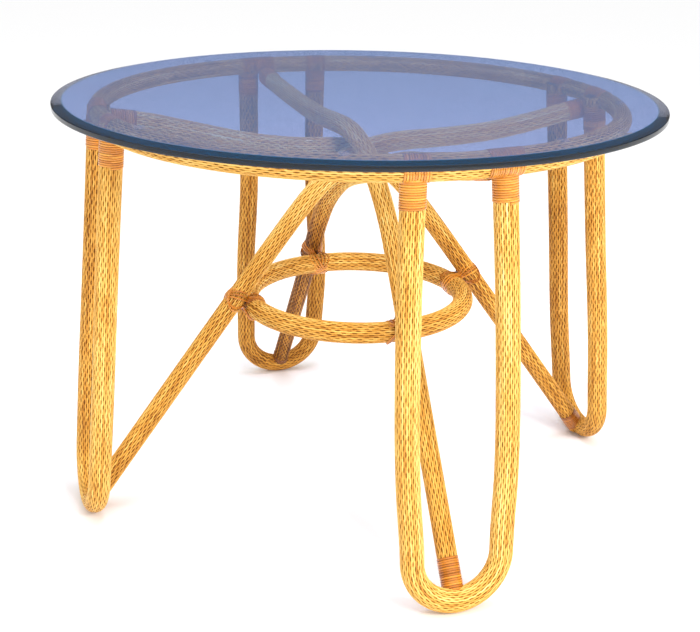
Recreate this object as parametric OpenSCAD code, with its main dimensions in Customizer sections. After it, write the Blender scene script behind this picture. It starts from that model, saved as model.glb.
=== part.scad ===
// Round glass-topped pole-cane dining table. Units are millimetres, +Z is up,
// the origin is on the floor below the middle of the top. The front leg is on -Y,
// the right leg on +X, the back leg on +Y and the left leg on -X.

/* [Table] */
// Height from the floor to the top face of the glass
table_height = 745; // [725:1:765]
// Diameter of the round glass
glass_diameter = 1070; // [1040:5:1150]
// Thickness of the glass
glass_thickness = 12; // [8:0.5:15]
// Width of the bevelled band round the edge of the glass
bevel_width = 19; // [10:1:25]
// How far the bevelled band falls
bevel_drop = 3; // [1:0.5:5]

/* [Ring under the glass] */
// Radius of the ring's centre line
ring_radius = 458; // [450:1:470]
// Diameter of the covered ring pole
ring_pole = 32; // [30:0.5:36]

/* [Legs] */
// Diameter of a covered leg pole
leg_pole = 39; // [36:0.5:42]
// Radius of the leg's centre line from the table's axis at the foot
foot_radius = 517; // [510:1:525]
// Radius of the leg's centre line at the height of the ring
leg_top_radius = 445; // [440:1:450]
// Half of the distance between the two posts of a leg at the ring
half_gap_top = 73; // [70:0.5:76]
// Radius of the U-bend's centre line at the foot
bend_radius = 79; // [74:0.5:84]

/* [Lower hoop] */
// Radius of the hoop's centre line
hoop_radius = 200.5; // [198:0.5:202]
// Diameter of the covered hoop pole
hoop_pole = 37; // [34:0.5:38]
// Height of the hoop's centre line
hoop_height = 367; // [360:1:372]

/* [Braces] */
// Diameter of a covered brace pole
brace_pole = 34.5; // [31:0.5:35]

/* [Cover and bindings] */
// Thickness of the woven cover
cover = 2; // [1.5:0.1:2.5]
// Thickness of the peel bindings
peel = 1.3; // [0.8:0.1:1.5]
// Height of the clear pads under the glass, measured from the top of the ring
pad_height = 1.5; // [1:0.5:4]

/* [Hidden] */
$fn = 48;
glass_bottom = table_height - glass_thickness;
ring_z = glass_bottom - pad_height - ring_pole/2;
lr = leg_pole/2;
rr = ring_pole/2;
hr = hoop_pole/2;
br = brace_pole/2;
slip = 0.1;
post_top = 722;
// small differences between the hand-bent legs: front, right, back, left
foot_more = [-4.5, -2, 8, -7];  // how much farther out a leg's foot stands
top_more = [-2, -6.5, 7, 6];    // how much farther out its top is
bend_more = [-1.5, -3, 2, 2];   // how much wider its bend is
low_gap = [84, 80, 84.5, 82.5]; // half of the distance between its posts, a quarter up
mid_gap = [82.5, 75, 74, 74.5]; // the same, two thirds up
drift_foot = [-1.5, 14, -1, -2.5]; // how far its foot stands to the side
drift_top = [-2.5, 13.5, 12.5, 5]; // how far its top leans to the side
function foot(i) = foot_radius + foot_more[i];
function bend(i) = bend_radius + bend_more[i];
function splay(i) = atan((foot(i) - leg_top_radius - top_more[i])/(ring_z - lr));
function half_gap(i, h) = lookup(h, [[bend(i), bend(i)], [212, low_gap[i]], [450, mid_gap[i]], [700, half_gap_top], [800, half_gap_top*1.4 - mid_gap[i]*0.4]]);
function drift(i, h) = drift_foot[i] + (drift_top[i] - drift_foot[i])*max(0, h - 212)/488;
seam = 0.6;

// the straight lower part of a brace, at the distance u along it, w across it
brace_rise = 1.352;
function low(u, w) = [u, w, 372 + brace_rise*(u + 245)];
// round points of the four brace centre lines, along the brace, across it, up
path_left = [low(-508,-1), low(-400,-4), low(-250,-9), low(-150,-14), [-119,-15.5,541],[-92,-17,573.5],[-62,-18,603],[-30,-18.3,625.5],[4,-18.5,639],[40,-18.5,646.5],[80,-19,650.5],[131,-20.5,652],[188,-22.5,654.8],[247,-25,660],[307,-28,670],[347,-30,678.4],[386,-32,687.5],[441,-34,698]];
path_right = [low(-508,-14), low(-400,-12), low(-250,-9), low(-150,-14), [-119,-15.5,540.5],[-92,-17,572],[-62,-18,600],[-30,-18,620.5],[4,-18,632.5],[40,-18,637.5],[76,-19,639],[110,-20,641],[150,-22,645.5],[197,-24,653],[285,-28,673.5],[330,-30,684.5],[370,-32,694],[441,-34,705]];
path_front = [low(-508,3), low(-400,-2), low(-249,-9), [-171,-11.5,478],[-126,-11,543],[-98,-7,585],[-75,0,621],[-55,10,649],[-32,20.5,669],[0,27.5,677],[40,31,677],[90,34,675],[150,38,675.5],[224,42,679],[336,47.5,688],[436,51,697]];
path_back = [[-519,2,32], [-400,-4,180], [-250,-12,366], [-178,-16,460],[-135,-17,508],[-85,-16,550],[-40,-12,579.5],[-10,-5,593.5],[16,6,602.5],[40,20.5,611],[62,35,619],[92,43,629],[130,46,639],[190,47,651],[280,48.5,671],[350,49.5,686],[395,50,697.5],[432,50,707]];
side_angle = [-90, 0, 90, 180];
paths = [path_front, path_right, path_back, path_left];

// ---- small helpers ----
function unit(v) = v/norm(v);
// cubic through the points of a path, n steps to each span
function tangent(P, i) = let(n = len(P))
  i == 0 ? unit(P[1] - P[0]) : i == n-1 ? unit(P[n-1] - P[n-2]) :
  let(a = norm(P[i] - P[i-1]), b = norm(P[i+1] - P[i]))
  ((P[i+1] - P[i])/b*a + (P[i] - P[i-1])/a*b)/(a + b);
function between(P, i, t) = let(d = norm(P[i+1] - P[i]), a = tangent(P, i)*d, b = tangent(P, i+1)*d)
  (2*t*t*t - 3*t*t + 1)*P[i] + (t*t*t - 2*t*t + t)*a + (3*t*t - 2*t*t*t)*P[i+1] + (t*t*t - t*t)*b;
function fine(P, n) = concat([for (i = [0:len(P)-2]) for (k = [0:(i < 3 ? 0 : n-1)]) between(P, i, k/(i < 3 ? 1 : n))], [P[len(P)-1]]);
function way(C, i) = unit(C[min(i+1, len(C)-1)] - C[max(i-1, 0)]);
function rim(C, i, r, m, ref) = let(t = way(C, i), a = unit(cross(ref, t)), b = cross(t, a))
  [for (k = [0:m-1]) C[i] + r*(cos(360*k/m)*a + sin(360*k/m)*b)];

// solid round bar along a line of points
module bar(C, r, m, ref = [0, 1, 0]) {
  n = len(C);
  pts = concat([for (i = [0:n-1]) each rim(C, i, r, m, ref)], [C[0], C[n-1]]);
  polyhedron(points = pts, faces = concat(
    [for (i = [0:n-2]) for (k = [0:m-1]) let(k2 = (k+1)%m) each [[i*m+k, (i+1)*m+k, (i+1)*m+k2], [i*m+k, (i+1)*m+k2, i*m+k2]]],
    [for (k = [0:m-1]) [n*m, k, (k+1)%m]],
    [for (k = [0:m-1]) [n*m+1, (n-1)*m+(k+1)%m, (n-1)*m+k]]), convexity = 6);
}
// hollow round bar along a line of points
module pipe_along(C, ro, ri, m, ref = [0, 1, 0]) {
  n = len(C); q = n*m;
  pts = concat([for (i = [0:n-1]) each rim(C, i, ro, m, ref)], [for (i = [0:n-1]) each rim(C, i, ri, m, ref)]);
  polyhedron(points = pts, faces = concat(
    [for (i = [0:n-2]) for (k = [0:m-1]) let(k2 = (k+1)%m) each [[i*m+k, (i+1)*m+k, (i+1)*m+k2], [i*m+k, (i+1)*m+k2, i*m+k2]]],
    [for (i = [0:n-2]) for (k = [0:m-1]) let(k2 = (k+1)%m) each [[q+i*m+k, q+(i+1)*m+k2, q+(i+1)*m+k], [q+i*m+k, q+i*m+k2, q+(i+1)*m+k2]]],
    [for (k = [0:m-1]) let(k2 = (k+1)%m) each [[k, k2, q+k2], [k, q+k2, q+k]]],
    [for (k = [0:m-1]) let(k2 = (k+1)%m, e = (n-1)*m) each [[e+k, q+e+k2, e+k2], [e+k, q+e+k, q+e+k2]]]), convexity = 8);
}
// turns +Z onto the line from a to b, standing at a
module aim(a, b) {
  d = b - a;
  translate(a) rotate([0, acos(d[2]/norm(d)), atan2(d[1], d[0])]) children();
}
module section(ro, ri) { difference() { circle(r = ro); if (ri > 0) circle(r = ri); } }
module hoop_solid(R, r) { rotate_extrude() translate([R, 0]) circle(r = r); }
module arc_tube(R, ro, ri, a0, a) { rotate([0, 0, a0]) rotate_extrude(angle = a) translate([R, 0]) section(ro, ri); }
module side(i) { rotate(side_angle[i]) children(); }

// ---- glass ----
module glass_top() {
  R = glass_diameter/2;
  color([0.42, 0.55, 0.85, 0.4]) rotate_extrude($fn = 120)
    polygon([[0, glass_bottom], [R-2, glass_bottom], [R, glass_bottom+2], [R, table_height-bevel_drop-2],
             [R-2, table_height-bevel_drop], [R-bevel_width, table_height], [0, table_height]]);
}
module glass_pads() {
  color([0.9, 0.93, 0.95, 0.5]) difference() {
    for (k = [0:7]) rotate(45*k + 22.5) translate([ring_radius, 0, ring_z + 14]) cylinder(r = 9, h = glass_bottom - ring_z - 14.03);
    translate([0, 0, ring_z]) hoop_solid(ring_radius, rr);
  }
}

// ---- ring ----
dowel_d = 8;
module ring_dowel() {
  color([0.86, 0.74, 0.5]) translate([0, ring_radius, ring_z]) rotate([0, 90, 0]) cylinder(r = dowel_d/2, h = 60, center = true);
}
module ring_core() {
  color([0.83, 0.68, 0.42]) difference() {
    translate([0, 0, ring_z]) arc_tube(ring_radius, rr-cover-slip, 0, 90+0.05, 359.9);
    translate([0, ring_radius, ring_z]) rotate([0, 90, 0]) cylinder(r = dowel_d/2+0.02, h = 61, center = true);
    for (i = [0:3]) side(i) { for (s = [-1, 1]) { post_screw(i, s, 1.95, 4); post_head(i, s, 2.6, 4, 0.9); } arm_screw(i, 1.95, 4); arm_head(i, 2.6, 4, 0.7); }
  }
}
module ring_cover() {
  color([0.91, 0.68, 0.32]) difference() {
    translate([0, 0, ring_z]) arc_tube(ring_radius, rr, rr-cover, 90+seam/8, 360-seam/4);
    for (i = [0:3]) side(i) { for (s = [-1, 1]) post_screw(i, s, 2.6, 4); arm_screw(i, 2.6, 4); }
  }
}

// ---- legs, built on +X ----
// a point of the leg's plane, t across and h up along the leaning plane
function in_plane(i, t, h) = [foot(i) - h*sin(splay(i)), t + drift(i, h), lr + h*cos(splay(i))];
bend_steps = 12;
function u_line(i, extra) = let(H = [(post_top - lr)/cos(splay(i)) + extra, 450, 212])
  concat([for (h = H) in_plane(i, half_gap(i, h), h)],
    [for (k = [0:bend_steps]) let(a = -k*180/bend_steps) in_plane(i, bend(i)*cos(a), bend(i) + bend(i)*sin(a))],
    [for (k = [2, 1, 0]) in_plane(i, -half_gap(i, H[k]), H[k])]);
function leg_side(i) = [cos(splay(i)), 0, sin(splay(i))];
// where a post's centre line meets a height z, on side s
function post_at(i, z, s) = let(h = (z - lr)/cos(splay(i)))
  [foot(i) - h*sin(splay(i)), s*half_gap(i, h) + drift(i, h), z];
module ring_cope() { translate([0, 0, ring_z]) rotate(-15) rotate_extrude(angle = 30, $fn = 96) translate([ring_radius, 0]) circle(r = rr+0.4, $fn = 28); }
module leg_core(i) {
  color([0.83, 0.68, 0.42]) side(i) difference() {
    bar(u_line(i, -1), lr-cover-slip-0.2, 16, leg_side(i));
    ring_cope();
    for (s = [-1, 1]) post_screw(i, s, 1.95, 4);
    foot_screw(i, 1.95, 3);
  }
}
module leg_cover(i) {
  color([0.93, 0.7, 0.34]) side(i) difference() {
    pipe_along(u_line(i, 0), lr, lr-cover+0.15, 16, leg_side(i));
    ring_cope();
    for (s = [-1, 1]) post_screw(i, s, 2.6, 4);
    foot_screw(i, 2.7, 8);
  }
}

// ---- hoop ----
module hoop_core() {
  color([0.83, 0.68, 0.42]) difference() {
    translate([0, 0, hoop_height]) arc_tube(hoop_radius, hr-cover-slip, 0, 45+0.1, 359.8);
    rotate(45) translate([hoop_radius, 0, hoop_height]) rotate([90, 0, 0]) cylinder(r = dowel_d/2+0.02, h = 51, center = true);
    for (i = [0:3]) side(i) hoop_screw(i, 1.75);
  }
}
module hoop_cover() {
  color([0.88, 0.64, 0.3]) difference() {
    translate([0, 0, hoop_height]) arc_tube(hoop_radius, hr, hr-cover, 45+seam/4, 360-seam/2);
    for (i = [0:3]) side(i) hoop_screw(i, 2.4, 3);
  }
}
module hoop_dowel() {
  color([0.86, 0.74, 0.5]) rotate(45) translate([hoop_radius, 0, hoop_height]) rotate([90, 0, 0]) cylinder(r = dowel_d/2, h = 50, center = true);
}

// ---- braces; a brace starts at its own leg, so its path runs from -r to +r ----
function flip(P) = [for (p = P) [-p[0], -p[1], p[2]]];
function line_of(i) = flip(paths[i]);
module brace_cuts(i) {
  // shoulders against the U-bend it stands on, the ring and the leg it ends at
  translate([foot(i), drift_foot[i], lr]) rotate([0, -splay(i), 0]) translate([0, 0, bend(i)])
    rotate([90, 0, 90]) rotate([0, 0, 180]) rotate_extrude(angle = 180, $fn = 40) translate([bend(i), 0]) circle(r = lr+0.3, $fn = 32);
  rotate([0, 0, 150]) translate([0, 0, ring_z]) rotate_extrude(angle = 60, $fn = 96) translate([ring_radius, 0]) circle(r = rr+0.3, $fn = 24);
  for (s = [-1, 1]) rotate(180) aim(post_at((i+2)%4, 650, s), post_at((i+2)%4, 760, s)) cylinder(r = lr+0.3, h = 130, $fn = 32);
}
module brace_core(i) {
  color([0.83, 0.68, 0.42]) side(i) difference() {
    bar(fine(line_of(i), 2), br-cover-slip-0.2, 14);
    brace_cuts(i);
    foot_screw(i, 1.95);
    hoop_screw(i, 1.75);
    rotate(180) arm_screw((i+2)%4, 1.95);
  }
}
module brace_cover(i) {
  color([0.9, 0.66, 0.31]) side(i) difference() {
    pipe_along(fine(line_of(i), 2), br, br-cover+0.15, 16);
    brace_cuts(i);
    hoop_screw(i, 2.4, 3);
  }
}

// ---- screws, all stated on +X and turned with their leg ----
module screw(a, b, head, shank) {
  aim(a, b) { cylinder(r = shank, h = norm(b-a)); cylinder(r = head, h = 2.2); }
}
// through the ring into the top of a post
function ring_skin(p, d, dz) = let(v = unit([p[0], p[1], 0])) [v[0]*(ring_radius+d), v[1]*(ring_radius+d), ring_z + dz];
function post_screw_a(i, s) = ring_skin(post_at(i, ring_z, s), 14.4, -1);
function post_screw_b(i, s) = let(a = post_screw_a(i, s)) a + unit(post_at(i, ring_z - 20, s) - a)*43;
module post_screw(i, s, r, e = 0) { aim(post_screw_a(i, s), post_screw_b(i, s)) translate([0, 0, -e]) cylinder(r = r, h = 44 + e, $fn = 16); }
module post_head(i, s, r, e, h) { aim(post_screw_a(i, s), post_screw_b(i, s)) translate([0, 0, -e]) cylinder(r = r, h = e + h, $fn = 24); }
// up through the U-bend from below, into the foot of the brace
function foot_way(i) = unit(line_of(i)[1] - line_of(i)[0]);
foot_in = [13, 13, 28, 13];
module foot_screw(i, r, e = 0) { P = line_of(i); aim(P[0] - foot_way(i)*foot_in[i], P[0]) translate([0, 0, -e]) cylinder(r = r, h = 60 + e, $fn = 16); }
// through the ring into the end of the arm that comes from the opposite leg
function arm_end(i) = let(P = paths[(i+2)%4]) P[len(P)-1];
function arm_in(i) = let(P = paths[(i+2)%4], p = P[len(P)-1], q = P[len(P)-2]) p + unit(q - p)*40;
function arm_screw_a(i) = let(p = arm_end(i)) ring_skin([p[0], p[1]*0.86, 0], 14.4, -3);
module arm_head(i, r, e, h) { aim(arm_screw_a(i), arm_in(i)) translate([0, 0, -e]) cylinder(r = r, h = e + h, $fn = 24); }
module arm_screw(i, r, e = 0) { aim(arm_screw_a(i), arm_in(i)) translate([0, 0, -e]) cylinder(r = r, h = 56 + e, $fn = 16); }
// through the brace into the hoop: nearest point of the brace, and of the hoop
function hoop_near(i) = let(P = line_of(i), c = P[2], az = atan2(c[1], c[0]), t = [hoop_radius*cos(az), hoop_radius*sin(az), hoop_height], d = unit(P[3] - P[2])) [c + d*((t - c)*d), t];
module hoop_screw(i, r, e = 0) { f = hoop_near(i); n = unit(f[1] - f[0]); aim(f[0] - n*(br-1), f[1]) translate([0, 0, -e]) cylinder(r = r, h = 52 + e, $fn = 16); }

module post_screws() {
  color([0.6, 0.6, 0.62]) for (i = [0:3]) side(i) for (s = [-1, 1]) {
    post_screw(i, s, 1.9);
    post_head(i, s, 2.5, 0, 0.8);
  }
}
module foot_screws() {
  color([0.6, 0.6, 0.62]) for (i = [0:3]) side(i) foot_screw(i, 1.9);
}
module arm_screws() {
  color([0.6, 0.6, 0.62]) for (i = [0:3]) side(i) {
    arm_screw(i, 1.9);
    arm_head(i, 2.5, 0, 0.6);
  }
}
module hoop_screws() {
  color([0.6, 0.6, 0.62]) for (i = [0:3]) side(i) hoop_screw(i, 1.7);
}

// ---- bindings of split peel ----
// room for the arm that ends at a leg
module arm_room(i) { a = arm_end(i); b = arm_in(i); d = unit(a - b); aim(a + d*14, b) cylinder(r = br+0.25, h = 62); }
// a collar at the head of each post and a strap from it over the ring
module post_lashing(i) {
  color([0.93, 0.6, 0.2]) side(i) for (s = [-1, 1]) {
    az = atan2(post_at(i, ring_z, s)[1], post_at(i, ring_z, s)[0]);
    difference() {
      aim(post_at(i, 660, s), post_at(i, 700, s)) linear_extrude(43) section(lr+peel, lr+0.02);
      translate([0, 0, ring_z]) hoop_solid(ring_radius, rr+peel+0.05);
      arm_room(i);
    }
    difference() {
      translate([0, 0, ring_z]) arc_tube(ring_radius, rr+peel, rr+0.02, az-2.5, 5);
      arm_room(i);
      aim(post_at(i, 640, s), post_at(i, 760, s)) cylinder(r = lr+0.1, h = 120);
    }
  }
}
// a collar round the foot of the brace: where it starts and how long it is
foot_wrap = [[8, 61], [8, 37], [2, 16], [8, 14]];
module foot_lashing(i) {
  P = line_of(i);
  color([0.93, 0.6, 0.2]) side(i) {
    difference() {
      aim(P[0], P[1]) translate([0, 0, foot_wrap[i][0]]) linear_extrude(foot_wrap[i][1]) section(br+peel, br+0.02);
      translate([foot(i), drift_foot[i], lr]) rotate([0, -splay(i), 0]) translate([0, 0, bend(i)]) rotate([90, 0, 90])
        rotate([0, 0, 180]) rotate_extrude(angle = 180) translate([bend(i), 0]) circle(r = lr+peel+0.05);
    }
  }
}
// a collar round the end of the arm, at the leg it reaches
module arm_lashing(i) {
  P = paths[i]; n = len(P);
  color([0.93, 0.6, 0.2]) rotate(side_angle[i]) rotate(180) difference() {
    aim(P[n-1], P[n-2]) translate([0, 0, -6]) linear_extrude(46) section(br+peel+0.4, br+0.5);
    translate([0, 0, ring_z]) hoop_solid(ring_radius, rr+peel+0.05);
    for (s = [-1, 1]) aim(post_at((i+2)%4, 640, s), post_at((i+2)%4, 760, s)) cylinder(r = lr+peel+0.1, h = 130);
  }
}
// a collar round the brace, a collar round the hoop and the turns that pull them together
module hoop_lashing(i) {
  f = hoop_near(i); P = line_of(i);
  az = atan2(f[1][1], f[1][0]);
  d = unit(P[3] - P[2]);
  color([0.93, 0.58, 0.2]) side(i) difference() { union() {
    aim(f[0] - d*20, f[0] + d*20) linear_extrude(40) section(br+peel, br+0.1);
    translate([0, 0, hoop_height]) arc_tube(hoop_radius, hr+peel, hr+0.02, az-5.5, 11);
    }
    hoop_screw(i, 1.9);
  }
}

glass_top();
glass_pads();
ring_core();
ring_cover();
ring_dowel();
leg_core(0);  // leg_front_core
leg_core(1);  // leg_right_core
leg_core(2);  // leg_back_core
leg_core(3);  // leg_left_core
leg_cover(0);  // leg_front_cover
leg_cover(1);  // leg_right_cover
leg_cover(2);  // leg_back_cover
leg_cover(3);  // leg_left_cover
brace_core(0);  // brace_front_core
brace_core(1);  // brace_right_core
brace_core(2);  // brace_back_core
brace_core(3);  // brace_left_core
brace_cover(0);  // brace_front_cover
brace_cover(1);  // brace_right_cover
brace_cover(2);  // brace_back_cover
brace_cover(3);  // brace_left_cover
hoop_core();
hoop_cover();
hoop_dowel();
post_lashing(0);  // post_lashing_front
post_lashing(1);  // post_lashing_right
post_lashing(2);  // post_lashing_back
post_lashing(3);  // post_lashing_left
foot_lashing(0);  // foot_lashing_front
foot_lashing(1);  // foot_lashing_right
foot_lashing(2);  // foot_lashing_back
foot_lashing(3);  // foot_lashing_left
arm_lashing(0);  // arm_lashing_front
arm_lashing(1);  // arm_lashing_right
arm_lashing(2);  // arm_lashing_back
arm_lashing(3);  // arm_lashing_left
hoop_lashing(0);  // hoop_lashing_front
hoop_lashing(1);  // hoop_lashing_right
hoop_lashing(2);  // hoop_lashing_back
hoop_lashing(3);  // hoop_lashing_left
post_screws();
foot_screws();
arm_screws();
hoop_screws();
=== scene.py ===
import math

import bpy
import numpy as np
from mathutils import Matrix, Vector


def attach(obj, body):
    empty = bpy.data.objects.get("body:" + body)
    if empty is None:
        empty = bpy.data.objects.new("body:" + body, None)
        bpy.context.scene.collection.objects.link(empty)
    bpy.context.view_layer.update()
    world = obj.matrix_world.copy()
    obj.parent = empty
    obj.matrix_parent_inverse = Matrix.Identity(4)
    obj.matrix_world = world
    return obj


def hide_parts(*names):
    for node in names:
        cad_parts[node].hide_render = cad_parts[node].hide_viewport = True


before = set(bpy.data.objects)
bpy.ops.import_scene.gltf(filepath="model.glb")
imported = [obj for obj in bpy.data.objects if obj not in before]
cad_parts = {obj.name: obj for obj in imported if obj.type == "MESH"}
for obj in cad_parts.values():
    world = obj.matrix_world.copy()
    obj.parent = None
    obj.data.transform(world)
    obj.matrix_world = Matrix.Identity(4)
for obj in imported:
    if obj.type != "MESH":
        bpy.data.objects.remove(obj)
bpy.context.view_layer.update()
scene = bpy.context.scene
scene.view_settings.view_transform = "Standard"
scene.view_settings.look = "None"
scene.view_settings.exposure = 0.0
MM = 0.001
rng = np.random.default_rng(7)

# ------------------------------------------------------------------ sizes, in millimetres, as in the CAD model
HEIGHT, GLASS_T, GLASS_R, BEVEL_W, BEVEL_D = 745.0, 12.0, 535.0, 19.0, 3.0
RING_R, RING_P, PAD = 458.0, 16.0, 1.5
LEG_P, FOOT_R, TOP_R, GAP_TOP, BEND_R, POST_TOP = 19.5, 517.0, 445.0, 73.0, 79.0, 722.0
HOOP_R, HOOP_P, HOOP_Z = 200.5, 18.5, 367.0
BRACE_P = 17.25
RING_Z = HEIGHT - GLASS_T - PAD - RING_P
SIDES = ["front", "right", "back", "left"]
# small differences between the hand-bent legs, in the order of SIDES
FOOT_MORE, TOP_MORE, BEND_MORE = [-4.5, -2, 8, -7], [-2, -6.5, 7, 6], [-1.5, -3, 2, 2]
LOW_GAP, MID_GAP = [84, 80, 84.5, 82.5], [82.5, 75, 74, 74.5]
DRIFT_FOOT, DRIFT_TOP = [-1.5, 14, -1, -2.5], [-2.5, 13.5, 12.5, 5]
FOOT = {s: FOOT_R + FOOT_MORE[i] for i, s in enumerate(SIDES)}
BEND = {s: BEND_R + BEND_MORE[i] for i, s in enumerate(SIDES)}
SPLAY = {s: math.atan((FOOT[s] - TOP_R - TOP_MORE[i]) / (RING_Z - LEG_P)) for i, s in enumerate(SIDES)}
TURN = {"front": -90.0, "right": 0.0, "back": 90.0, "left": 180.0}


def low(u, w):
    return [u, w, 372 + 1.352 * (u + 245)]


PATHS = {
    "left": [low(-508, -1), low(-400, -4), low(-250, -9), low(-150, -14), [-119, -15.5, 541], [-92, -17, 573.5], [-62, -18, 603], [-30, -18.3, 625.5], [4, -18.5, 639], [40, -18.5, 646.5], [80, -19, 650.5], [131, -20.5, 652], [188, -22.5, 654.8], [247, -25, 660], [307, -28, 670], [347, -30, 678.4], [386, -32, 687.5], [441, -34, 698]],
    "right": [low(-508, -14), low(-400, -12), low(-250, -9), low(-150, -14), [-119, -15.5, 540.5], [-92, -17, 572], [-62, -18, 600], [-30, -18, 620.5], [4, -18, 632.5], [40, -18, 637.5], [76, -19, 639], [110, -20, 641], [150, -22, 645.5], [197, -24, 653], [285, -28, 673.5], [330, -30, 684.5], [370, -32, 694], [441, -34, 705]],
    "front": [low(-508, 3), low(-400, -2), low(-249, -9), [-171, -11.5, 478], [-126, -11, 543], [-98, -7, 585], [-75, 0, 621], [-55, 10, 649], [-32, 20.5, 669], [0, 27.5, 677], [40, 31, 677], [90, 34, 675], [150, 38, 675.5], [224, 42, 679], [336, 47.5, 688], [436, 51, 697]],
    "back": [[-519, 2, 32], [-400, -4, 180], [-250, -12, 366], [-178, -16, 460], [-135, -17, 508], [-85, -16, 550], [-40, -12, 579.5], [-10, -5, 593.5], [16, 6, 602.5], [40, 20.5, 611], [62, 35, 619], [92, 43, 629], [130, 46, 639], [190, 47, 651], [280, 48.5, 671], [350, 49.5, 686], [395, 50, 697.5], [432, 50, 707]],
}


# ------------------------------------------------------------------ small geometry helpers
def unit(v):
    v = np.asarray(v, float)
    return v / np.maximum(np.linalg.norm(v, axis=-1, keepdims=True), 1e-12)


def spin(P, degrees):
    a = math.radians(degrees)
    P = np.asarray(P, float)
    return np.stack([P[..., 0] * math.cos(a) - P[..., 1] * math.sin(a), P[..., 0] * math.sin(a) + P[..., 1] * math.cos(a), P[..., 2]], -1)


def smooth_path(P, m=24):
    """The same cubic through the points as in the CAD model, densely sampled."""
    P = np.array(P, float)
    d = np.linalg.norm(np.diff(P, axis=0), axis=1)
    n = len(P)
    M = np.zeros_like(P)
    M[0], M[-1] = (P[1] - P[0]) / d[0], (P[-1] - P[-2]) / d[-1]
    for i in range(1, n - 1):
        M[i] = ((P[i + 1] - P[i]) / d[i] * d[i - 1] + (P[i] - P[i - 1]) / d[i - 1] * d[i]) / (d[i - 1] + d[i])
    out = []
    for i in range(n - 1):
        t = (np.arange(m) / m)[:, None]
        out.append((2 * t**3 - 3 * t**2 + 1) * P[i] + (t**3 - 2 * t**2 + t) * d[i] * M[i] + (3 * t**2 - 2 * t**3) * P[i + 1] + (t**3 - t**2) * d[i] * M[i + 1])
    return np.vstack(out + [P[-1:]])


def brace_path(side):
    """Centre line of a brace, standing at its own leg and running to the opposite one."""
    return spin(-smooth_path(PATHS[side]) * np.array([1, 1, -1]), TURN[side])


def half_gap(side, h):
    i = SIDES.index(side)
    k = smooth_path([[40, BEND[side], 0], [BEND[side], BEND[side], 0], [212, LOW_GAP[i], 0], [450, MID_GAP[i], 0], [700, GAP_TOP, 0], [800, GAP_TOP * 1.4 - MID_GAP[i] * 0.4, 0]])
    return np.interp(h, k[:, 0], k[:, 1])


def in_plane(side, t, h):
    i = SIDES.index(side)
    t = np.asarray(t) + DRIFT_FOOT[i] + (DRIFT_TOP[i] - DRIFT_FOOT[i]) * np.maximum(0, np.asarray(h) - 212) / 488
    return np.stack([FOOT[side] - h * math.sin(SPLAY[side]), t, LEG_P + h * math.cos(SPLAY[side])], -1)


def leg_path(side):
    h = np.linspace((POST_TOP - LEG_P) / math.cos(SPLAY[side]), BEND[side], 140)[:-1]
    g = half_gap(side, h)
    a = np.linspace(0, -math.pi, 160)
    t = np.concatenate([g, BEND[side] * np.cos(a), -g[::-1]])
    hh = np.concatenate([h, BEND[side] + BEND[side] * np.sin(a), h[::-1]])
    return spin(in_plane(side, t, hh), TURN[side])


def post_at(side, z, s):
    h = (z - LEG_P) / math.cos(SPLAY[side])
    return spin(in_plane(side, np.array(s * half_gap(side, h)), np.array(h)), TURN[side])


def circle_path(R, z, start=0.0, n=720):
    a = np.radians(start) + np.linspace(0, 2 * np.pi, n + 1)
    return np.stack([R * np.cos(a), R * np.sin(a), np.full(n + 1, z)], -1)


class Line:
    """A centre line with its length and a frame that doesn't turn round it."""

    def __init__(self, C, ref, closed=False):
        self.C = np.asarray(C, float)
        self.s = np.concatenate([[0], np.cumsum(np.linalg.norm(np.diff(self.C, axis=0), axis=1))])
        self.L = self.s[-1]
        self.closed = closed
        T = np.gradient(self.C, self.s, axis=0)
        if closed:
            T[0] = T[-1] = T[0] + T[-1]
        self.T = unit(T)
        ref = np.broadcast_to(np.asarray(ref, float), self.C.shape)
        self.A = unit(np.cross(ref, self.T))
        self.B = unit(np.cross(self.T, self.A))

    def at(self, s):
        s = np.asarray(s, float)
        if self.closed:
            s = s % self.L
        f = lambda X: np.stack([np.interp(s, self.s, X[:, j]) for j in range(3)], -1)
        return f(self.C), unit(f(self.T)), unit(f(self.A)), unit(f(self.B))

    def skin(self, s, phi, r):
        """Points at the length s, the angle phi and the radius r."""
        C, T, A, B = self.at(s)
        return C + np.asarray(r)[..., None] * (np.cos(phi)[..., None] * A + np.sin(phi)[..., None] * B)


def build(name, V, F, mat, slot, body="frame", attrs=None, uv=None, smooth=True):
    """A mesh from millimetre points and quads or triangles, held on a body."""
    me = bpy.data.meshes.new(name)
    V = np.asarray(V, np.float32) * MM
    F = np.asarray(F, np.int32)
    n, k = F.shape
    me.vertices.add(len(V))
    me.vertices.foreach_set("co", V.ravel())
    me.loops.add(n * k)
    me.loops.foreach_set("vertex_index", F.ravel())
    me.polygons.add(n)
    me.polygons.foreach_set("loop_start", np.arange(0, n * k, k, dtype=np.int32))
    me.polygons.foreach_set("loop_total", np.full(n, k, np.int32))
    me.update(calc_edges=True)
    if smooth:
        me.polygons.foreach_set("use_smooth", np.ones(n, bool))
    for key, (kind, data) in (attrs or {}).items():
        a = me.attributes.new(key, kind, "POINT")
        a.data.foreach_set("vector" if kind == "FLOAT_VECTOR" else "value", np.asarray(data, np.float32).ravel())
    if uv is not None:
        layer = me.uv_layers.new(name="OFBake")
        layer.uv.foreach_set("vector", np.asarray(uv, np.float32).ravel())
    me.materials.append(mat)
    me.validate()
    ob = bpy.data.objects.new(name, me)
    scene.collection.objects.link(ob)
    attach(ob, body)
    return ob


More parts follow.
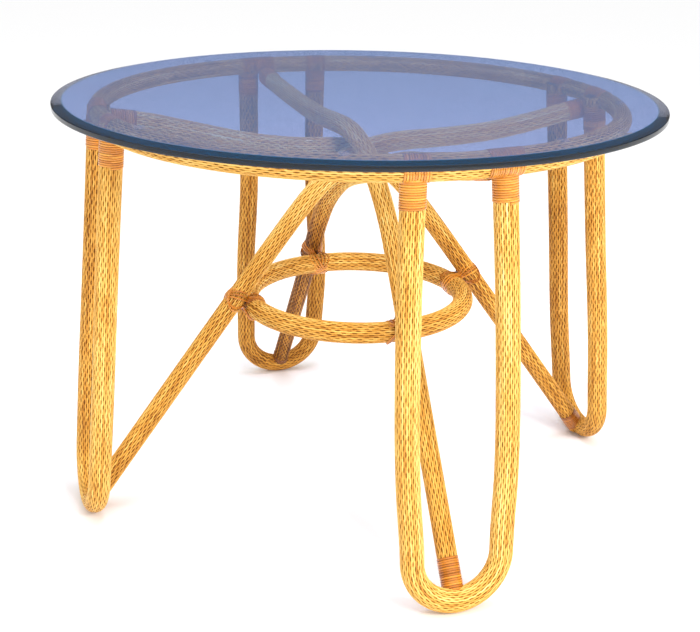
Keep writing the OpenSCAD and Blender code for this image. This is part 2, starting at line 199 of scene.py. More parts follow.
class Pool:
    """Gathers closed strips, each a run of cross-sections, into one mesh with its own map."""

    def __init__(self):
        self.V, self.F, self.fib, self.tone, self.runs, self.count = [], [], [], [], [], 0

    def strip(self, P, fib, tone, closed=False):
        """P is (rings, points, 3); fib is (rings, points, 3); tone is (rings, points)."""
        m, k = P.shape[:2]
        base = self.count
        idx = base + np.arange(m * k).reshape(m, k)
        self.V.append(P.reshape(-1, 3))
        self.fib.append(fib.reshape(-1, 3))
        self.tone.append(tone.reshape(-1))
        rows = np.arange(m if closed else m - 1)
        nxt = (rows + 1) % m
        cols = np.arange(k)
        nc = (cols + 1) % k
        quad = np.stack([idx[rows][:, cols], idx[rows][:, nc], idx[nxt][:, nc], idx[nxt][:, cols]], -1).reshape(-1, 4)
        self.F.append(quad)
        caps = []
        if not closed:
            for ring, flip in ((0, True), (m - 1, False)):
                j = idx[ring]
                for q in range(1, k - 2, 2):
                    f = [j[0], j[q], j[q + 1], j[q + 2]]
                    caps.append(f[::-1] if flip else f)
            if caps:
                self.F.append(np.array(caps))
        self.count += m * k
        self.runs.append((m, k, len(rows), len(caps)))

    def make(self, name, mat, slot, **kw):
        V, F = np.vstack(self.V), np.vstack(self.F)
        n = len(self.runs)
        uv = []
        for i, (m, k, rows, caps) in enumerate(self.runs):
            v0, dv = i / n, 0.86 / n
            r = np.arange(rows)[:, None]
            c = np.arange(k)[None, :]
            ua, ub = np.broadcast_to(r / rows * 0.985 + 0.002, (rows, k)), np.broadcast_to((r + 1) / rows * 0.985 + 0.002, (rows, k))
            va, vb = np.broadcast_to(v0 + dv * c / k, (rows, k)), np.broadcast_to(v0 + dv * (c + 1) / k, (rows, k))
            uv.append(np.stack([ua, va, ua, vb, ub, vb, ub, va], -1).reshape(-1, 2))
            if caps:
                e = np.array([[0.99, v0], [0.995, v0], [0.995, v0 + dv], [0.99, v0 + dv]])
                uv.append(np.tile(e, (caps, 1)))
        return build(name, V, F, mat, slot, attrs={"fib": ("FLOAT_VECTOR", np.vstack(self.fib)), "tone": ("FLOAT", np.concatenate(self.tone))}, uv=np.vstack(uv), **kw)


# ------------------------------------------------------------------ materials
def material(name):
    m = bpy.data.materials.new(name)
    m.use_nodes = True
    nt = m.node_tree
    p = nt.nodes["Principled BSDF"]
    return m, nt, p


def node(nt, kind, **kw):
    n = nt.nodes.new(kind)
    for k, v in kw.items():
        setattr(n, k, v)
    return n


def ramp(nt, fac, stops, interp="LINEAR"):
    r = node(nt, "ShaderNodeValToRGB")
    r.color_ramp.interpolation = interp
    el = r.color_ramp.elements
    while len(el) < len(stops):
        el.new(0.5)
    for e, (pos, col) in zip(el, stops):
        e.position = pos
        e.color = (*col, 1) if len(col) == 3 else col
    nt.links.new(fac, r.inputs["Fac"])
    return r.outputs["Color"]


def mix(nt, a, b, fac, blend="MIX"):
    n = node(nt, "ShaderNodeMix", data_type="RGBA", blend_type=blend, clamp_factor=True)
    for sock, val in ((n.inputs["Factor"], fac), (n.inputs["A"], a), (n.inputs["B"], b)):
        if isinstance(val, bpy.types.NodeSocket):
            nt.links.new(val, sock)
        else:
            sock.default_value = val if not isinstance(val, tuple) or len(val) == 4 else (*val, 1)
    return n.outputs["Result"]


def math_node(nt, op, a, b=0.0, clamp=False):
    n = node(nt, "ShaderNodeMath", operation=op, use_clamp=clamp)
    for sock, val in zip(n.inputs, (a, b)):
        if isinstance(val, bpy.types.NodeSocket):
            nt.links.new(val, sock)
        else:
            sock.default_value = val
    return n.outputs[0]


def attribute(nt, name):
    return node(nt, "ShaderNodeAttribute", attribute_name=name)


def scaled(nt, vec, sc):
    n = node(nt, "ShaderNodeVectorMath", operation="MULTIPLY")
    nt.links.new(vec, n.inputs[0])
    n.inputs[1].default_value = sc
    return n.outputs[0]


def noise(nt, vec, scale, detail=2.0, rough=0.5):
    n = node(nt, "ShaderNodeTexNoise")
    nt.links.new(vec, n.inputs["Vector"])
    n.inputs["Scale"].default_value = scale
    n.inputs["Detail"].default_value = detail
    n.inputs["Roughness"].default_value = rough
    return n.outputs["Fac"]


def fibre_material(name, stops, rough, coat, streak, bump, tone_gain=1.0, spec=0.5):
    """Split cane: streaks along each strand, a tone of its own for each strand, and fine fibres in the bump."""
    m, nt, p = material(name)
    fib = attribute(nt, "fib").outputs["Vector"]
    tone = attribute(nt, "tone").outputs["Fac"]
    n1 = noise(nt, scaled(nt, fib, (0.05, 1.6, 7.3)), 1.0, 3.0, 0.6)
    n2 = noise(nt, scaled(nt, fib, (0.35, 4.5, 3.1)), 1.0, 2.0, 0.6)
    geo = node(nt, "ShaderNodeTexCoord")
    n3 = noise(nt, geo.outputs["Object"], 9.0, 3.0, 0.55)
    a = math_node(nt, "MULTIPLY_ADD", math_node(nt, "SUBTRACT", n1, 0.5), streak)
    a.node.inputs[2].default_value = 0.0
    nt.links.new(tone, a.node.inputs[2])
    b = math_node(nt, "MULTIPLY_ADD", math_node(nt, "SUBTRACT", n2, 0.5), streak * 0.6)
    nt.links.new(a, b.node.inputs[2])
    c = math_node(nt, "MULTIPLY_ADD", math_node(nt, "SUBTRACT", n3, 0.5), 0.22, True)
    c.node.use_clamp = True
    nt.links.new(b, c.node.inputs[2])
    nt.links.new(ramp(nt, c, stops), p.inputs["Base Color"])
    r = math_node(nt, "MULTIPLY_ADD", n2, 0.22)
    r.node.inputs[2].default_value = rough - 0.1
    nt.links.new(r, p.inputs["Roughness"])
    p.inputs["Coat Weight"].default_value = coat
    p.inputs["Coat Roughness"].default_value = 0.16
    p.inputs["Specular IOR Level"].default_value = spec
    bn = node(nt, "ShaderNodeBump")
    bn.inputs["Strength"].default_value = bump
    bn.inputs["Distance"].default_value = 0.0006
    nt.links.new(n2, bn.inputs["Height"])
    nt.links.new(bn.outputs["Normal"], p.inputs["Normal"])
    return m


WEAVE = fibre_material("woven_split_cane", [
    (0.0, (0.12, 0.034, 0.003)), (0.2, (0.36, 0.13, 0.012)), (0.42, (0.68, 0.31, 0.042)),
    (0.62, (0.86, 0.49, 0.10)), (0.8, (0.95, 0.67, 0.20)), (1.0, (0.99, 0.86, 0.38))], 0.5, 0.08, 0.5, 0.5, spec=0.3)
PEEL = fibre_material("glossy_peel", [
    (0.0, (0.13, 0.035, 0.003)), (0.3, (0.42, 0.13, 0.009)), (0.55, (0.69, 0.25, 0.02)),
    (0.8, (0.86, 0.41, 0.05)), (1.0, (0.96, 0.63, 0.16))], 0.26, 0.5, 0.4, 0.25)


def cane_material(name, dark, mid, light, rough):
    m, nt, p = material(name)
    tc = node(nt, "ShaderNodeTexCoord")
    n1 = noise(nt, tc.outputs["Object"], 38.0, 4.0, 0.6)
    n2 = noise(nt, scaled(nt, tc.outputs["Object"], (140.0, 140.0, 9.0)), 1.0, 2.0, 0.5)
    f = math_node(nt, "ADD", math_node(nt, "MULTIPLY", n1, 0.55), math_node(nt, "MULTIPLY", n2, 0.45))
    nt.links.new(ramp(nt, f, [(0.3, dark), (0.52, mid), (0.75, light)]), p.inputs["Base Color"])
    p.inputs["Roughness"].default_value = rough
    bn = node(nt, "ShaderNodeBump")
    bn.inputs["Strength"].default_value = 0.3
    bn.inputs["Distance"].default_value = 0.001
    nt.links.new(n2, bn.inputs["Height"])
    nt.links.new(bn.outputs["Normal"], p.inputs["Normal"])
    return m


# the cores are dark brown so that they read as shade where they show between the strands: painted shade
CORE = cane_material("cane_pole", (0.16, 0.055, 0.010), (0.27, 0.11, 0.022), (0.38, 0.18, 0.045), 0.65)
DOWEL = cane_material("dowel_wood", (0.42, 0.26, 0.11), (0.60, 0.42, 0.22), (0.72, 0.55, 0.33), 0.6)


def glass_material(name, painted_reflection, edge):
    """Blue-tinted sheet glass, darker through the bevel and the rim. Its upper face also sends back blue light: a
    painted reflection standing in for blue surroundings mirrored in it.
    """
    m, nt, p = material(name)
    out = nt.nodes["Material Output"]
    nt.links.new(ramp(nt, attribute(nt, "tint").outputs["Fac"], [(0.0, (0.009, 0.013, 0.016)), (0.5, (0.30, 0.35, 0.37)), (1.0, (0.515, 0.505, 0.80))]), p.inputs["Base Color"])
    p.inputs["Transmission Weight"].default_value = 1.0
    p.inputs["IOR"].default_value = 1.52
    # faint smears of a wiped sheet, only in the gloss
    tc = node(nt, "ShaderNodeTexCoord")
    n1 = noise(nt, tc.outputs["Object"], 3.0, 2.0, 0.5)
    nt.links.new(math_node(nt, "MULTIPLY", n1, 0.012), p.inputs["Roughness"])
    shader = p.outputs[0]
    # painted reflection: a blue diffuse layer on the upper face in place of the blue surroundings the glass would
    # mirror
    d = node(nt, "ShaderNodeBsdfDiffuse")
    n2 = noise(nt, tc.outputs["Object"], 5.0, 3.0, 0.6)
    nt.links.new(ramp(nt, n2, [(0.3, (0.006, 0.20, 0.52)), (0.7, (0.010, 0.24, 0.58))]), d.inputs["Color"])
    mv = node(nt, "ShaderNodeMixShader")
    fac = math_node(nt, "MULTIPLY_ADD", attribute(nt, "face_up").outputs["Fac"], painted_reflection - edge)
    fac.node.inputs[2].default_value = edge
    nt.links.new(fac, mv.inputs["Fac"])
    nt.links.new(shader, mv.inputs[1])
    nt.links.new(d.outputs[0], mv.inputs[2])
    shader = mv.outputs[0]
    t = node(nt, "ShaderNodeBsdfTransparent")
    t.inputs["Color"].default_value = (0.86, 0.87, 0.95, 1)
    lp = node(nt, "ShaderNodeLightPath")
    ms = node(nt, "ShaderNodeMixShader")
    nt.links.new(math_node(nt, "MAXIMUM", lp.outputs["Is Shadow Ray"], lp.outputs["Is Diffuse Ray"]), ms.inputs["Fac"])
    nt.links.new(shader, ms.inputs[1])
    nt.links.new(t.outputs[0], ms.inputs[2])
    nt.links.new(ms.outputs[0], out.inputs["Surface"])
    return m


GLASS = glass_material("tinted_glass", 0.17, 0.0)


def clear_material():
    m, nt, p = material("clear_pad")
    tc = node(nt, "ShaderNodeTexCoord")
    n1 = noise(nt, tc.outputs["Object"], 120.0, 2.0, 0.5)
    nt.links.new(ramp(nt, n1, [(0.3, (0.78, 0.82, 0.85)), (0.8, (0.88, 0.91, 0.93))]), p.inputs["Base Color"])
    p.inputs["Roughness"].default_value = 0.25
    t = node(nt, "ShaderNodeBsdfTransparent")
    ms = node(nt, "ShaderNodeMixShader")
    ms.inputs["Fac"].default_value = 0.12
    nt.links.new(t.outputs[0], ms.inputs[1])
    nt.links.new(p.outputs[0], ms.inputs[2])
    nt.links.new(ms.outputs[0], nt.nodes["Material Output"].inputs["Surface"])
    return m


def steel_material():
    m, nt, p = material("screw_steel")
    tc = node(nt, "ShaderNodeTexCoord")
    n1 = noise(nt, tc.outputs["Object"], 400.0, 3.0, 0.6)
    nt.links.new(ramp(nt, n1, [(0.3, (0.35, 0.35, 0.36)), (0.8, (0.62, 0.62, 0.64))]), p.inputs["Base Color"])
    p.inputs["Metallic"].default_value = 1.0
    p.inputs["Roughness"].default_value = 0.35
    return m


PAD, STEEL = clear_material(), steel_material()
for name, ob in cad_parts.items():
    mat = CORE if name.endswith("_core") else DOWEL if name.endswith("_dowel") else STEEL if name.endswith("_screws") else PAD if name == "glass_pads" else None
    if mat:
        ob.data.materials.clear()
        ob.data.materials.append(mat)

# ------------------------------------------------------------------ the poles' woven cover
PITCH = 17.5  # a strand's float and dip
SECTION = np.array([(-1.0, 0.4), (-0.42, 1.0), (0.42, 1.0), (1.0, 0.4)])
THICK = 1.0


def weave(name, line, R, strands, keep, replaces, shade=(0.0, 0.0), dark=0.34):
    """Long strands side by side, held by crossing strands below them, so that each gap between two neighbours opens to
    a short dark slot once in every period, in a brick pattern round the pole. The strands' tone is made darker towards
    their edges, and darkest where a slot opens, as painted shading."""
    pool = Pool()
    L = line.L
    periods = max(2, round(L / PITCH))
    if line.closed and periods % 2:
        periods += 1
    P = L / periods
    width = 2 * math.pi * (R - 0.6) / strands
    seed = np.random.default_rng(sum(map(ord, name)))
    # rows of the mesh where the dips begin and end
    steps = np.array([0.0, 0.125, 0.235, 0.36, 0.5, 0.625, 0.735, 0.86])
    s = (np.arange(periods)[:, None] + steps[None, :]).ravel() * P
    if not line.closed:
        s = np.append(s, L)
    # the offset runs from one end's value to the other's: the cane's own tone, with painted shade and painted light
    shade = np.interp(s, [0.4 * L, 0.6 * L], shade)
    # where each gap opens: every second gap at the same height, with small differences
    n = periods + 2
    shift = seed.normal(0, 0.05, (strands, n))
    depth = np.clip(seed.normal(1.0, 0.25, (strands, n)), 0.35, 1.5)
    if line.closed:
        shift[:, 0], shift[:, -1], depth[:, 0], depth[:, -1] = shift[:, -2], shift[:, 1], depth[:, -2], depth[:, 1]

    def gap(k):
        """How far the gap before a strand is open."""
        c = (np.arange(n) - 1 + 0.5 * (k % 2) + shift[k]) * P
        i = np.clip(np.round(s / P - 0.5 * (k % 2)).astype(int) + 1, 0, n - 1)
        return np.clip((4.7 - np.abs(s - c[i])) / 2.3, 0, 1) * depth[k][i], i

    for k in range(strands):
        left, index = gap(k)
        right = gap((k + 1) % strands)[0]
        side = np.where(SECTION[None, :, 0] < 0, left[:, None], right[:, None])
        edge = SECTION[None, :, 0] ** 2
        wob = seed.normal(0, 0.03)
        x = width * (0.525 * (1 + wob) - 0.15 * side) * SECTION[None, :, 0]
        rad = R - THICK + THICK * SECTION[None, :, 1] - 0.5 * side * edge
        pts = line.skin(np.broadcast_to(s[:, None], x.shape), 2 * math.pi * k / strands + x / (R - 0.5), rad)
        slow = np.interp(s, np.linspace(0, L, max(4, int(L / 60))), seed.normal(0, 0.06, max(4, int(L / 60))))
        floats = seed.normal(0.0, 0.05, n + 1)
        tone = 0.66 + shade + seed.normal(0, 0.06) + slow + floats[index]
        # painted shade: darker towards each strand's edges, in the grooves, and much darker where the gap opens to a
        # slot
        tone_with_painted_gap_shade = tone[:, None] - (0.04 + dark * side) * edge
        fib = np.stack([np.broadcast_to(s[:, None], x.shape), x, np.full(x.shape, 10.0 * seed.random())], -1)
        ok = keep(pts[:, 2]) if keep is not None else np.ones(len(s), bool)
        if line.closed and ok.all():
            pool.strip(pts, fib, tone_with_painted_gap_shade, closed=True)
            continue
        if line.closed:
            first = int(np.argmin(ok))
            pts, fib, tone_with_painted_gap_shade, ok = (np.roll(q, -first, axis=0) for q in (pts, fib, tone_with_painted_gap_shade, ok))
        edges = np.flatnonzero(np.diff(np.concatenate([[0], ok.astype(int), [0]])))
        for a, b in edges.reshape(-1, 2):
            if b - a >= 3:
                pool.strip(pts[a:b], fib[a:b], tone_with_painted_gap_shade[a:b])
    # the crossing strands below, seen only through the slots; their dark tone is painted shade in the slots
    a = np.linspace(0, 2 * math.pi, 25)[:-1]
    t = np.linspace(0, L, max(8, int(L / 8)) + 1)[:-1] if line.closed else np.linspace(0, L, max(8, int(L / 8)) + 1)
    ok = keep(line.at(t)[0]) if keep is not None else np.ones(len(t), bool)
    shape = (len(t), 24)
    pts = line.skin(np.broadcast_to(t[:, None], shape), np.broadcast_to(a, shape), np.full(shape, R - 1.5))
    fib = np.stack([np.broadcast_to(a * R, shape), np.broadcast_to(t[:, None], shape), np.full(shape, 3.3)], -1)
    tone = 0.30 + np.interp(t, s, shade)[:, None] + np.zeros(shape)
    if line.closed:
        pool.strip(pts, fib, tone, closed=True)
    else:
        a, b = np.flatnonzero(ok)[[0, -1]]
        pool.strip(pts[a:b + 1], fib[a:b + 1], tone[a:b + 1])
    ob = pool.make(name, WEAVE, "woven_cover")
    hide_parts(replaces)
    return ob


def outside(points, line, r, step=1):
    """True for each point farther than r from a centre line."""
    C = line.C[::step]
    d = np.full(len(points), 1e9)
    for i in range(0, len(C), 64):
        q = C[i:i + 64]
        d = np.minimum(d, np.linalg.norm(points[:, None] - q[None], axis=2).min(1))
    return d > r


def off_ring(points, R, z, r):
    """True for each point outside a round bar bent to a circle."""
    return np.hypot(np.hypot(points[:, 0], points[:, 1]) - R, points[:, 2] - z) > r


LEG = {s: Line(leg_path(s), spin([math.cos(SPLAY[s]), 0, math.sin(SPLAY[s])], TURN[s])) for s in SIDES}
BRACE = {s: Line(brace_path(s), spin([0, 1, 0], TURN[s])) for s in SIDES}
RING = Line(circle_path(RING_R, RING_Z, 90), [0, 0, 1], closed=True)
HOOP = Line(circle_path(HOOP_R, HOOP_Z, 45), [0, 0, 1], closed=True)

# how much lighter or darker each pole's cane is, a value for each end of the pole: partly the cane's own tone, partly
# painted shade and painted light, darker where a post or a brace's foot stands in shade, lighter on the braces' arms
# that are lit through the glass
CANE_TONE_AND_PAINTED_SHADE = {"leg_front": (0.01, 0.02), "leg_right": (-0.24, -0.10), "leg_back": (-0.25, -0.25), "leg_left": (-0.04, -0.19), "brace_front": (-0.12, 0.08), "brace_right": (-0.23, 0.08), "brace_back": (-0.44, 0.04), "brace_left": (-0.14, 0.08)}
weave("ring_weave", RING, RING_P, 26, None, "ring_cover", (-0.03, -0.03))
weave("hoop_weave", HOOP, HOOP_P, 30, None, "hoop_cover", (-0.12, -0.12))
for sd in SIDES:
    weave(f"leg_{sd}_weave", LEG[sd], LEG_P, 32, lambda q: off_ring(q, RING_R, RING_Z, RING_P - 0.4), f"leg_{sd}_cover", CANE_TONE_AND_PAINTED_SHADE[f"leg_{sd}"])
    far = SIDES[(SIDES.index(sd) + 2) % 4]

    def keep(q, sd=sd, far=far):
        ok = off_ring(q, RING_R, RING_Z, RING_P - 0.4)
        ends = q[:, 2] < 90
        ok[ends] &= outside(q[ends], LEG[sd], LEG_P - 0.5)
        tops = np.hypot(q[:, 0], q[:, 1]) > 380
        tops &= q[:, 2] > 600
        ok[tops] &= outside(q[tops], LEG[far], LEG_P - 0.5)
        return ok

    weave(f"brace_{sd}_weave", BRACE[sd], BRACE_P, 28, keep, f"brace_{sd}_cover", CANE_TONE_AND_PAINTED_SHADE[f"brace_{sd}"])

# ------------------------------------------------------------------ the peel bindings
STRIP = np.array([(-1.0, 0.0), (-0.7, 0.8), (0.0, 1.0), (0.7, 0.8), (1.0, 0.0), (0.0, -0.35)])


def coil(pool, line, s0, s1, R, width, seed, thick=0.9, shade=0.0):
    """Turns of peel side by side round a pole, one long spiral."""
    turns = max(2, round((s1 - s0) / width))
    w = (s1 - s0) / turns
    n = turns * 40
    t = np.linspace(0, turns, n + 1)
    s = s0 + w * t
    phi = 2 * math.pi * t + seed.uniform(0, 6.3)
    turn = np.floor(t).astype(int)
    lift = np.interp(t, np.arange(turns + 1), seed.normal(0, 0.10, turns + 1))
    shift = np.interp(t, np.arange(0, turns + 0.5, 0.5), seed.normal(0, 0.05, 2 * turns + 1)) * w
    x = (0.5 * w * 1.04) * STRIP[None, :, 0] + shift[:, None]
    rad = R + lift[:, None] + thick * STRIP[None, :, 1]
    pts = line.skin(s[:, None] + x, np.broadcast_to(phi[:, None], x.shape), rad)
    tones = seed.normal(0, 0.08, turns + 2)
    # painted shade: each turn darker towards its edges, in the creases between turns, and the offset darkens a whole
    # collar that stands in shade
    tone = 0.62 + shade + tones[turn][:, None] - 0.16 * np.abs(STRIP[None, :, 0]) + 0 * x
    fib = np.stack([np.broadcast_to((phi * R)[:, None], x.shape), x, np.broadcast_to(turn[:, None] * 3.7, x.shape)], -1)
    pool.strip(pts, fib, tone)


def hoops(pool, line, s0, s1, R, width, seed, a0, a1, thick=0.9):
    """Side by side turns that go only part of the way round a pole, from the angle a0 to a1."""
    turns = max(1, round((s1 - s0) / width))
    w = (s1 - s0) / turns
    for i in range(turns):
        phi = np.linspace(a0, a1, 44)
        s = s0 + (i + 0.5) * w + np.interp(np.linspace(0, 1, 44), [0, 0.5, 1], seed.normal(0, 0.05 * w, 3))
        x = np.broadcast_to(0.5 * w * 1.04 * STRIP[None, :, 0], (44, 6))
        fade = 0.0
        rad = R + seed.normal(0, 0.08) - fade + thick * np.broadcast_to(STRIP[None, :, 1], x.shape)
        pts = line.skin(s[:, None] + x, np.broadcast_to(phi[:, None], x.shape), rad)
        # painted shade: each turn darker towards its edges, in the creases between turns
        tone = 0.62 + seed.normal(0, 0.08) - 0.16 * np.abs(STRIP[None, :, 0]) + 0 * x
        fib = np.stack([np.broadcast_to((phi * R)[:, None], x.shape), x, np.full(x.shape, i * 3.7)], -1)
        pool.strip(pts, fib, tone)


def nearest(line, point):
    return line.s[int(np.argmin(np.linalg.norm(line.C - point, axis=1)))]


TURN_W = 3.9
FOOT_WRAP = {"front": (8, 69), "right": (8, 45), "back": (2, 18), "left": (8, 22)}
for i, sd in enumerate(SIDES):
    seed = np.random.default_rng(100 + i)
    pool = Pool()
    for s in (-1, 1):
        a, b = sorted((nearest(LEG[sd], post_at(sd, 702, s)), nearest(LEG[sd], post_at(sd, 660, s))))
        coil(pool, LEG[sd], a, b, LEG_P + 0.1, TURN_W, seed)
        e = post_at(sd, RING_Z, s)
        ang = nearest(RING, np.array([*(e[:2] * RING_R / np.hypot(*e[:2])), RING_Z]))
        hoops(pool, RING, ang - 20, ang + 20, RING_P + 0.1, TURN_W, seed, -math.pi, math.pi)
    ob = pool.make(f"post_binding_{sd}", PEEL, "peel_binding")
    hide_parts(f"post_lashing_{sd}")

    pool = Pool()
    # the foot collar takes its brace's lower value: painted shade on the back one, which stands in shade
    coil(pool, BRACE[sd], *FOOT_WRAP[sd], BRACE_P + 0.1, TURN_W, seed, shade=CANE_TONE_AND_PAINTED_SHADE[f"brace_{sd}"][0])
    ob = pool.make(f"foot_binding_{sd}", PEEL, "peel_binding")
    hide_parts(f"foot_lashing_{sd}")

    pool = Pool()
    end = BRACE[sd].L
    coil(pool, BRACE[sd], end - 46, end - 3, BRACE_P + 0.2, TURN_W, seed)
    e = BRACE[sd].C[-1]
    ang = nearest(RING, np.array([*(e[:2] * RING_R / np.hypot(*e[:2])), RING_Z]))
    lo, hi = ang - 19, ang + 19
    for s in (-1, 1):
        e = post_at(SIDES[(i + 2) % 4], RING_Z, s)
        post = nearest(RING, np.array([*(e[:2] * RING_R / np.hypot(*e[:2])), RING_Z]))
        if abs(post - ang) < 60:
            lo, hi = (max(lo, post + 20.3), hi) if post < ang else (lo, min(hi, post - 20.3))
    if hi - lo > 8:
        hoops(pool, RING, lo, hi, RING_P + 0.25, TURN_W, seed, -math.pi, math.pi)
    ob = pool.make(f"arm_binding_{sd}", PEEL, "peel_binding")
    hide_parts(f"arm_lashing_{sd}")

    # crossed turns round the brace and the hoop together
    pool = Pool()
    B = BRACE[sd]
    near = np.linalg.norm(B.C[:, None] - HOOP.C[None, ::2], axis=2)
    near[B.C[:, 2] > 500] = 1e9
    bi, hi = np.unravel_index(near.argmin(), near.shape)
    hi *= 2
    pb, ph = B.C[bi], HOOP.C[hi]
    d, h = B.T[bi], HOOP.T[hi]
    n = unit(ph - pb)
    gap = float(np.linalg.norm(ph - pb))
    for j in range(10):
        sign = 1 if j % 2 == 0 else -1
        k = j // 2
        th = math.radians(29 + 8.5 * k)
        e = unit(d * math.cos(th) + sign * h * math.sin(th))
        f = unit(np.cross(n, e))
        sb, sh = abs(np.dot(np.cross(e, d), n)), abs(np.dot(np.cross(e, h), n))
        grow = 0.1 + 0.09 * j
        ra, rb = BRACE_P + grow, HOOP_P + grow
        wa = np.radians(np.linspace(52, 308, 33))
        A = np.stack([ra / max(sb, 0.62) * np.sin(wa), ra * np.cos(wa)], -1)
        wb = np.radians(np.linspace(52, 308, 33))
        Bq = np.stack([-rb / max(sh, 0.62) * np.sin(wb), gap - rb * np.cos(wb)], -1)
        waist = 12.6 + grow
        key = np.vstack([A, [[-waist, gap * 0.47]], Bq, [[waist, gap * 0.47]]])
        key = np.vstack([key, key[:1]])
        arc = np.concatenate([[0], np.cumsum(np.linalg.norm(np.diff(key, axis=0), axis=1))])
        q = np.linspace(0, arc[-1], 121)[:-1]
        ring = np.stack([np.interp(q, arc, key[:, 0]), np.interp(q, arc, key[:, 1])], -1)
        for _ in range(2):
            ring = 0.5 * ring + 0.25 * (np.roll(ring, 1, axis=0) + np.roll(ring, -1, axis=0))
        tang = unit(np.roll(ring, -1, axis=0) - np.roll(ring, 1, axis=0))
        nrm = np.stack([tang[:, 1], -tang[:, 0]], -1)
        if ((ring - ring.mean(0)) * nrm).sum() < 0:
            nrm = -nrm
        away = np.clip(np.abs(ring[:, 1] - gap * 0.47) / 24.0, 0, 1) ** 0.8
        off = (k - 2) * 2.9 * sign * (0.3 + 0.85 * away)
        x = 1.75 * STRIP[None, :, 0] + off[:, None]
        y = 0.85 * STRIP[None, :, 1]
        P2 = ring[:, None, :] + y[..., None] * nrm[:, None, :] + 0 * x[..., None]
        pts = pb + P2[..., 0:1] * e + P2[..., 1:2] * n + x[..., None] * f
        # painted shade: each turn darker towards its edges and near the waist, where it passes between the brace and
        # the hoop
        tone = 0.58 + seed.normal(0, 0.09) - 0.16 * np.abs(STRIP[None, :, 0]) + 0 * x - 0.12 * (1 - away[:, None])
        fib = np.stack([np.broadcast_to(q[:, None], x.shape), x - off[:, None], np.full(x.shape, j * 2.3)], -1)
        pool.strip(pts, fib, tone, closed=True)
    ob = pool.make(f"hoop_binding_{sd}", PEEL, "peel_binding")
    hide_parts(f"hoop_lashing_{sd}")


# ------------------------------------------------------------------ the glass
def glass_top():
    R, zt, zb = GLASS_R, HEIGHT, HEIGHT - GLASS_T
    prof = [(0.0, zb), (R * 0.5, zb), (R - 6, zb), (R - 1.6, zb)]
    for a in np.linspace(-80, -10, 5):
        prof.append((R - 1.6 + 1.6 * math.cos(math.radians(a)), zb + 1.6 + 1.6 * math.sin(math.radians(a))))
    prof.append((R, zb + 1.6))
    zs = zt - BEVEL_D
    prof.append((R, zs - 1.6))
    for a in np.linspace(10, 70, 5):
        prof.append((R - 1.6 + 1.6 * math.cos(math.radians(a)), zs - 1.6 + 1.6 * math.sin(math.radians(a))))
    prof += [(R - 2.2, zs + 0.05), (R - BEVEL_W + 1.2, zt - 0.12), (R - BEVEL_W - 0.6, zt), (R - BEVEL_W - 8, zt), (R * 0.5, zt), (0.0, zt)]
    seg = 288
    a = 2 * np.pi * np.arange(seg) / seg
    V, rings = [], []
    for r, z in prof:
        if r == 0:
            rings.append([len(V)])
            V.append((0, 0, z))
        else:
            rings.append(list(range(len(V), len(V) + seg)))
            V += [(r * math.cos(t), r * math.sin(t), z) for t in a]
    me = bpy.data.meshes.new("glass_sheet")
    F = []
    for p, q in zip(rings, rings[1:]):
        for i in range(seg):
            j = (i + 1) % seg
            if len(p) == 1:
                F.append((p[0], q[j], q[i]))
            elif len(q) == 1:
                F.append((p[i], p[j], q[0]))
            else:
                F.append((p[i], p[j], q[j], q[i]))
    me.from_pydata([Vector(v) * MM for v in V], [], F)
    me.validate()
    me.polygons.foreach_set("use_smooth", np.ones(len(me.polygons), bool))
    me.set_sharp_from_angle(angle=math.radians(8))
    me.materials.append(GLASS)
    up = me.attributes.new("face_up", "FLOAT", "FACE")
    up.data.foreach_set("value", [1.0 if min(me.vertices[i].co.z for i in f.vertices) > (zt - 0.2) * MM else 0.0 for f in me.polygons])
    tint = me.attributes.new("tint", "FLOAT", "FACE")
    tint.data.foreach_set("value", [1.0 if abs(f.normal.z) > 0.999 else 0.5 if f.normal.z > 0.9 else 0.0 for f in me.polygons])
    ob = bpy.data.objects.new("glass_sheet", me)
    scene.collection.objects.link(ob)
    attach(ob, "glass")
    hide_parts("glass_top")


glass_top()

# ------------------------------------------------------------------ studio
me = bpy.data.meshes.new("floor")
me.from_pydata([(-30, -30, 0), (30, -30, 0), (30, 30, 0), (-30, 30, 0)], [], [(0, 1, 2, 3)])
fm, fnt, fp = material("floor_white")
fp.inputs["Base Color"].default_value = (0.96, 0.96, 0.96, 1)
fp.inputs["Roughness"].default_value = 0.9
fp.inputs["Specular IOR Level"].default_value = 0.1
me.materials.append(fm)
floor = bpy.data.objects.new("floor", me)
floor.location.z = -0.0005
scene.collection.objects.link(floor)

world = bpy.data.worlds.new("studio")
world.use_nodes = True
wt = world.node_tree
wc = node(wt, "ShaderNodeTexCoord")
wz = node(wt, "ShaderNodeSeparateXYZ")
wt.links.new(wc.outputs["Generated"], wz.inputs[0])
sky = ramp(wt, wz.outputs["Z"], [(0.0, (0.5, 0.5, 0.5)), (0.38, (0.5, 0.5, 0.5)), (1.0, (1.0, 1.0, 1.0))])
wd = node(wt, "ShaderNodeVectorMath", operation="DOT_PRODUCT")
wt.links.new(wc.outputs["Generated"], wd.inputs[0])
wd.inputs[1].default_value = (math.sin(math.radians(19.87)), math.cos(math.radians(19.87)), 0)
behind = ramp(wt, wd.outputs["Value"], [(0.15, (0, 0, 0)), (0.6, (1, 1, 1))])
lowmask = ramp(wt, wz.outputs["Z"], [(0.5, (1, 1, 1)), (0.8, (0, 0, 0))])
both = node(wt, "ShaderNodeMix", data_type="RGBA", blend_type="MULTIPLY")
both.inputs["Factor"].default_value = 1.0
wt.links.new(behind, both.inputs["A"])
wt.links.new(lowmask, both.inputs["B"])
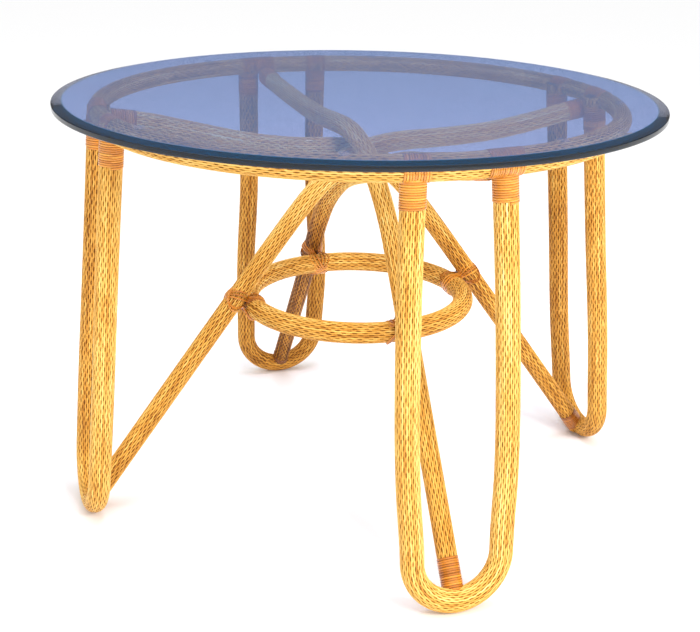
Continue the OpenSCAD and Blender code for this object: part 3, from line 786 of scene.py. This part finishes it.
# the wall behind is dark only for what the table and the floor receive from it
wall = mix(wt, sky, (0.12, 0.12, 0.13), both.outputs["Result"])
wt.links.new(mix(wt, wall, (0.64, 0.64, 0.64), node(wt, "ShaderNodeLightPath").outputs["Is Camera Ray"]), wt.nodes["Background"].inputs["Color"])
wt.nodes["Background"].inputs["Strength"].default_value = 1.52
scene.world = world


def area(name, loc, target, size, power, colour=(1, 1, 1)):
    l = bpy.data.lights.new(name, "AREA")
    l.shape = "DISK"
    l.size = size
    l.energy = power
    l.color = colour
    o = bpy.data.objects.new(name, l)
    o.location = loc
    o.rotation_mode = "QUATERNION"
    o.rotation_quaternion = (Vector(target) - Vector(loc)).to_track_quat("-Z", "Y")
    o.visible_glossy = o.visible_transmission = False
    scene.collection.objects.link(o)
    return o


ALPHA = math.radians(19.87)
XP = Vector((math.cos(ALPHA), -math.sin(ALPHA), 0))   # to the right in the picture
YP = Vector((math.sin(ALPHA), math.cos(ALPHA), 0))    # away from the camera
area("key", XP * 1.9 - YP * 2.5 + Vector((0, 0, 2.2)), (0, 0, 0.4), 1.2, 95, (1.0, 0.98, 0.94))
area("top", Vector((0, 0, 2.4)), (0, 0, 0.7), 1.0, 22)
area("fill", -XP * 2.6 - YP * 1.6 + Vector((0, 0, 1.6)), (0, 0, 0.4), 2.0, 14)

# ------------------------------------------------------------------ camera, at the photograph's angle
D, H, THETA, RHO, PSI = 2.1749, 1.1359, math.radians(20.49), math.radians(1.1), math.radians(-0.27)
fwd = XP * (math.sin(PSI) * math.cos(THETA)) + YP * (math.cos(PSI) * math.cos(THETA)) + Vector((0, 0, -math.sin(THETA)))
right = fwd.cross(Vector((0, 0, 1))).normalized()
up = right.cross(fwd)
r2 = right * math.cos(RHO) + up * math.sin(RHO)
u2 = up * math.cos(RHO) - right * math.sin(RHO)
cam = bpy.data.cameras.new("camera")
cam.sensor_fit = "HORIZONTAL"
cam.sensor_width = 36.0
cam.lens = 1226.75 / 700 * 36
cam.clip_start, cam.clip_end = 0.05, 200
co = bpy.data.objects.new("camera", cam)
m = Matrix((r2, u2, -fwd)).transposed().to_4x4()
m.translation = -YP * D + Vector((0, 0, H))
co.matrix_world = m
scene.collection.objects.link(co)
scene.camera = co
